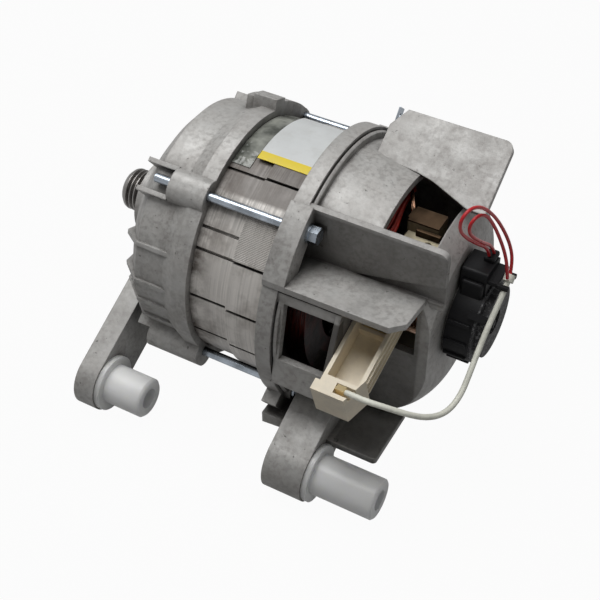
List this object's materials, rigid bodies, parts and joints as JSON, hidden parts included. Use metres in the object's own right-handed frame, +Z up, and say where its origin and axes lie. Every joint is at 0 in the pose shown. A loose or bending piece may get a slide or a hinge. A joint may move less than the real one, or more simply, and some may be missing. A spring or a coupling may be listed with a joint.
{
  "type": "washing machine motor",
  "caption": "Brushed universal motor with poly-V pulley, cast end shields with rubber-mount bushings, tacho, plug housing and sprung carbon brushes.",
  "frame": {"origin": "on the motor axis, in the middle of the stator's visible stack", "axes": "+X along the motor axis from the pulley to the tacho, +Z up as it lies on its mounting bushings, +Y to the back, away from the bushings"},
  "size_m": [0.2024, 0.1551, 0.153],
  "materials": {
    "bearing_steel": "ground steel",
    "black_plastic": "moulded, fine grain",
    "brass": "stamped brass",
    "cast_aluminium": "raw die casting, satin",
    "coil_frame": "moulded insulation",
    "copper": "turned copper",
    "cream_plastic": "moulded",
    "dark_film": "polyester film",
    "dark_steel": "turned steel",
    "graphite": "carbon",
    "grey_plastic": "moulded, mottled",
    "label_film": "self-adhesive film",
    "lamination": "stacked electrical sheet",
    "magnet_ferrite": "sintered",
    "red_insulation": "wire insulation",
    "spring_steel": "spring wire",
    "white_insulation": "sleeve",
    "white_nylon": "translucent nylon",
    "winding_enamel": "varnished copper wire",
    "zinc_steel": "zinc plated steel"
  },
  "bodies": {
    "root": {"drive_end_shield": "cast_aluminium", "rear_end_shield": "cast_aluminium", "stator_core": "lamination", "field_coil_front": "winding_enamel", "field_coil_back": "winding_enamel", "coil_liners": "coil_frame", "through_bolts": "zinc_steel", "drive_bearing_outer_ring": "bearing_steel", "drive_bearing_balls": "bearing_steel", "rear_bearing_outer_ring": "bearing_steel", "rear_bearing_balls": "bearing_steel", "brush_holder_upper": "black_plastic", "brush_holder_lower": "black_plastic", "brush_spring_upper": "spring_steel", "brush_spring_lower": "spring_steel", "brush_cap_upper": "brass", "brush_cap_lower": "brass", "tacho_housing": "black_plastic", "tacho_coil": "winding_enamel", "tacho_end_disc": "grey_plastic", "connector_housing": "cream_plastic", "connector_terminals": "brass", "bushing_drive": "white_nylon", "bushing_rear": "white_nylon", "rating_label": "label_film", "insulation_film": "dark_film", "earth_tab": "zinc_steel", "lead_crimp": "brass", "lead_collar": "white_insulation", "white_lead": "white_insulation", "red_lead_outer": "red_insulation", "red_lead_inner": "red_insulation"},
    "rotor": {"rotor_shaft": "bearing_steel", "poly_v_pulley": "dark_steel", "armature_core": "lamination", "armature_winding": "winding_enamel", "commutator": "copper", "cooling_fan": "coil_frame", "drive_bearing_inner_ring": "bearing_steel", "rear_bearing_inner_ring": "bearing_steel", "tacho_magnet": "magnet_ferrite"},
    "brush_upper": {"carbon_brush_upper": "graphite"},
    "brush_lower": {"carbon_brush_lower": "graphite"}
  },
  "joints": [
    {"name": "rotor_spin", "type": "hinge", "parent": "root", "child": "rotor", "pos_m": [0, 0, 0], "axis": [1, 0, 0], "continuous": true},
    {"name": "brush_slide_upper", "type": "slide", "parent": "root", "child": "brush_upper", "axis": [0, 0, 1], "range_m": [0, 0.0045], "stiffness_N_per_m": 250, "springref_m": -0.012, "deforming": ["brush_spring_upper"]},
    {"name": "brush_slide_lower", "type": "slide", "parent": "root", "child": "brush_lower", "axis": [0, 0, -1], "range_m": [0, 0.0045], "stiffness_N_per_m": 250, "springref_m": -0.012, "deforming": ["brush_spring_lower"]}
  ]
}
